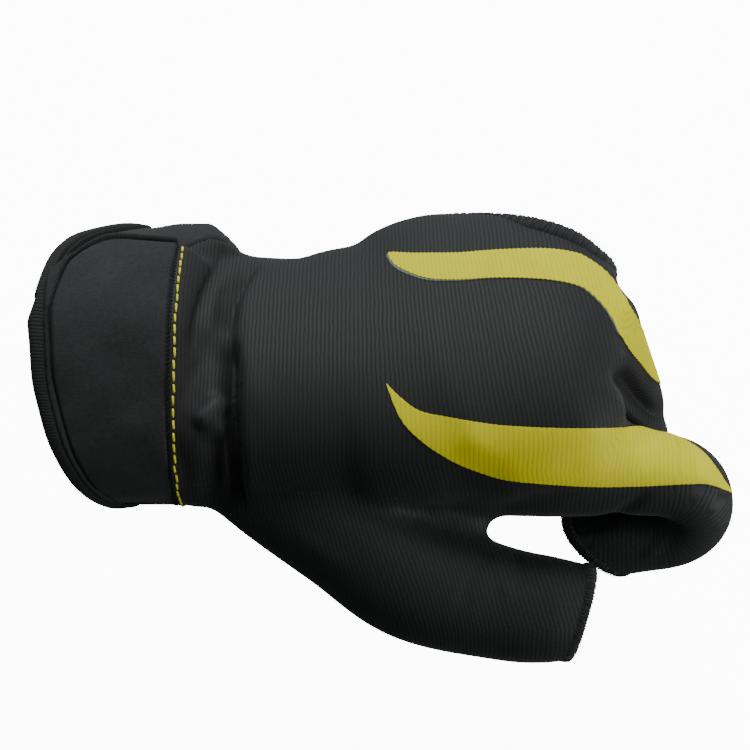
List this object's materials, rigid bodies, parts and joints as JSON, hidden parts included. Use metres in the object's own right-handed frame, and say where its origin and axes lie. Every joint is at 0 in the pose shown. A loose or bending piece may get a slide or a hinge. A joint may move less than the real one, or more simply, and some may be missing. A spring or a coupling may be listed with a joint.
{
  "type": "billiard glove",
  "caption": "Stretch-knit cue glove, open at the thumb, index and middle fingertips, cut away for the last two fingers, with a padded wrap cuff.",
  "frame": {"origin": "centre of the wrist opening, on the axis of the wrist, where the hand goes in", "axes": "+X from the wrist to the fingers, +Z out of the back of the hand, -Y towards the thumb of this left-hand glove"},
  "size_m": [0.1667, 0.1108, 0.0771],
  "materials": {
    "knit": "ribbed stretch knit, black",
    "hem": "overlocked edge, black",
    "cuff": "smooth padded cloth, dark grey",
    "tape": "ribbed binding tape, black",
    "accent": "printed film, yellow",
    "closure": "hook-and-loop tape, black"
  },
  "bodies": {
    "root": {"back_panel": "knit", "palm_panel": "knit", "index_sleeve": "knit", "middle_sleeve": "knit", "thumb_sleeve": "knit", "index_hem": "hem", "middle_hem": "hem", "thumb_hem": "hem", "side_hem": "hem", "cuff_flap": "cuff", "cuff_band": "cuff", "flap_piping": "tape", "band_piping": "tape", "index_stripe": "accent", "middle_stripe": "accent", "hook_pad": "closure"}
  },
  "joints": []
}
